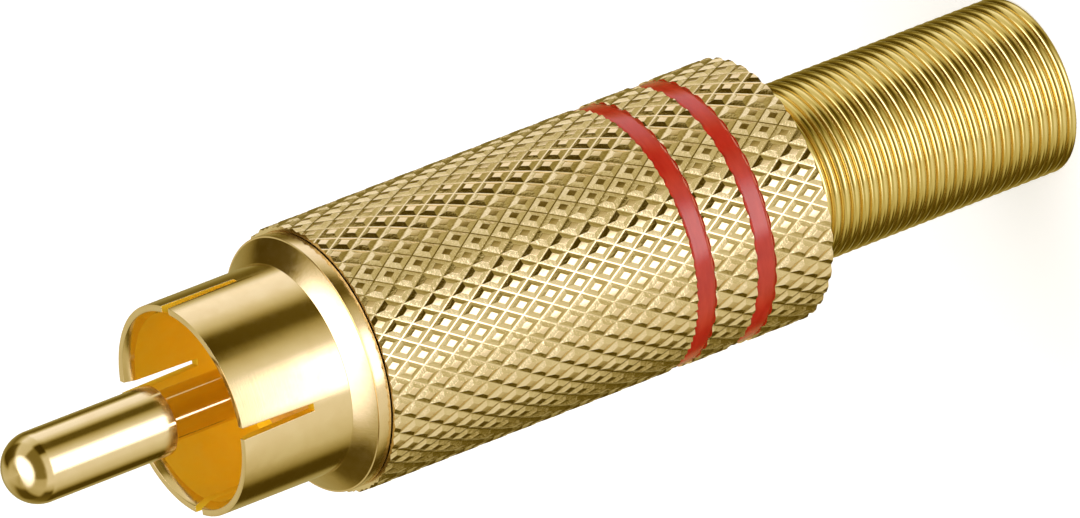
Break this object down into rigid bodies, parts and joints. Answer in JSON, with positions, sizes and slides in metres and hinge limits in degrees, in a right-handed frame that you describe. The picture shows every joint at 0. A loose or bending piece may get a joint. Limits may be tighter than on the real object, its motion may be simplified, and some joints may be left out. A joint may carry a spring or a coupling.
{
  "type": "rca plug",
  "caption": "Gold-plated metal phono plug with slotted contact shell, centre pin, diamond-knurled screw-on sleeve, red enamel bands and a close-wound spring strain relief.",
  "frame": {"origin": "centre of the spring's ground end, on the surface that the plug stands on", "axes": "+Z along the plug from the spring's end to the pin's tip; the shell's slots face +X, -X, +Y and -Y"},
  "size_m": [0.012, 0.012, 0.0535],
  "materials": {
    "sleeve_gold": "bright gold plate over diamond knurl",
    "contact_gold": "polished gold plate",
    "spring_gold": "gold-plated spring wire",
    "red_enamel": "glossy red enamel",
    "amber_insulator": "amber moulded plastic",
    "liner_plastic": "translucent natural plastic"
  },
  "bodies": {
    "spring": {"strain_relief_spring": "spring_gold"},
    "sleeve": {"knurled_sleeve": "sleeve_gold", "red_band_rear": "red_enamel", "red_band_front": "red_enamel", "insulating_liner": "liner_plastic"},
    "contacts": {"contact_shell": "contact_gold", "centre_pin": "contact_gold", "front_insulator": "amber_insulator", "rear_insulator": "amber_insulator", "ground_lug": "contact_gold"}
  },
  "joints": [
    {"name": "contacts_rise", "type": "slide", "parent": "spring", "child": "contacts", "axis": [0, 0, 1], "range_m": [0, 0.0045]},
    {"name": "sleeve_turn", "type": "hinge", "parent": "spring", "child": "sleeve", "pos_m": [0, 0, 0.025], "axis": [0, 0, -1], "range_deg": [0, 2160]}
  ],
  "couplings": [
    {"joint": "sleeve_turn", "follows": "contacts_rise", "rad_per_m": 8377.6}
  ]
}
